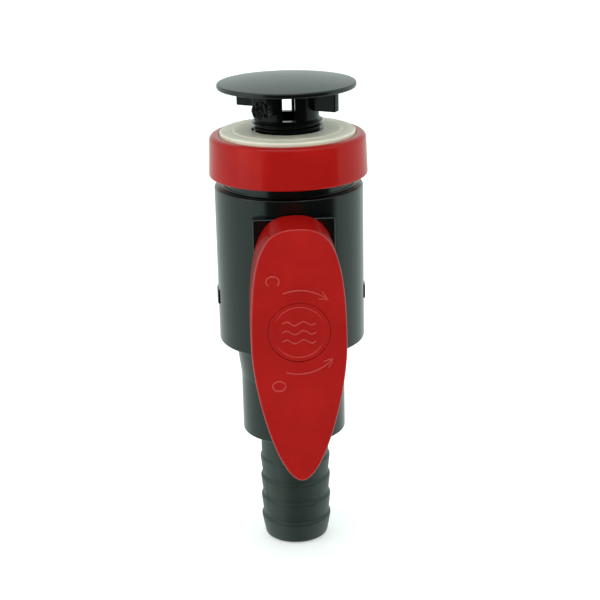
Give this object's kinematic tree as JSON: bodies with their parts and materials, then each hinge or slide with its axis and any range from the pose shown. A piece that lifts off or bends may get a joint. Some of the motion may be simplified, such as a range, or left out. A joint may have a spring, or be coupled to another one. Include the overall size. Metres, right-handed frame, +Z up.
{
  "type": "seacock valve",
  "caption": "Quarter-turn plastic seacock ball valve with strainer cap, hull gasket, ring nut, lever handle and barbed hose tail.",
  "frame": {"origin": "centre of the hull gasket's sealing face, on the flow line, with the clamp nut where it is shown", "axes": "+Z up the flow line towards the strainer cap, -Y towards the handle, -Z out of the hose tail"},
  "size_m": [0.0598, 0.0787, 0.1853],
  "materials": {
    "strainer": "satin moulded",
    "body": "gloss moulded",
    "barb": "fine matt moulded",
    "nut": "gloss moulded",
    "handle": "gloss moulded",
    "gasket": "soft matt",
    "seat": "waxy white",
    "seal": "matt black",
    "ball": "polished moulded",
    "stainless": "bright"
  },
  "bodies": {
    "valve": {"valve_body": "body", "upper_seat": "seat", "lower_seat": "seat", "upper_seat_oring": "seal", "lower_seat_oring": "seal", "end_connector": "body", "end_connector_oring": "seal", "hose_barb": "barb", "stem_thrust_washer": "seat"},
    "lever": {"handle": "handle", "handle_washer": "stainless", "handle_screw": "stainless", "handle_plug": "handle", "stem": "body", "stem_oring_inner": "seal", "stem_oring_outer": "seal"},
    "ball": {"ball": "ball"},
    "gasket": {"hull_gasket": "gasket"},
    "nut": {"ring_nut": "nut"},
    "spigot_seal": {"spigot_oring": "seal"},
    "strainer": {"strainer_cap": "strainer"}
  },
  "joints": [
    {"name": "handle_turn", "type": "hinge", "parent": "valve", "child": "lever", "pos_m": [0, -0.0292, -0.0638], "axis": [0, 1, 0], "range_deg": [0, 90]},
    {"name": "ball_turn", "type": "hinge", "parent": "valve", "child": "ball", "pos_m": [0, 0, -0.0638], "axis": [0, 1, 0], "range_deg": [0, 90]},
    {"name": "gasket_lift", "type": "slide", "parent": "valve", "child": "gasket", "axis": [0, 0, 1], "range_m": [-0.00351, 0.00351]},
    {"name": "nut_turn", "type": "hinge", "parent": "gasket", "child": "nut", "pos_m": [0, 0, -0.009], "axis": [0, 0, 1], "range_deg": [-420, 420]},
    {"name": "strainer_lift", "type": "slide", "parent": "valve", "child": "spigot_seal", "axis": [0, 0, 1], "range_m": [-0.003, 0.0084]},
    {"name": "strainer_turn", "type": "hinge", "parent": "spigot_seal", "child": "strainer", "pos_m": [0, 0, 0.005], "axis": [0, 0, 1], "range_deg": [-590, 1660]}
  ],
  "couplings": [
    {"joint": "ball_turn", "follows": "handle_turn", "ratio": 1},
    {"joint": "gasket_lift", "follows": "nut_turn", "m_per_rad": 0.00047746},
    {"joint": "strainer_lift", "follows": "strainer_turn", "m_per_rad": 0.00028871}
  ]
}
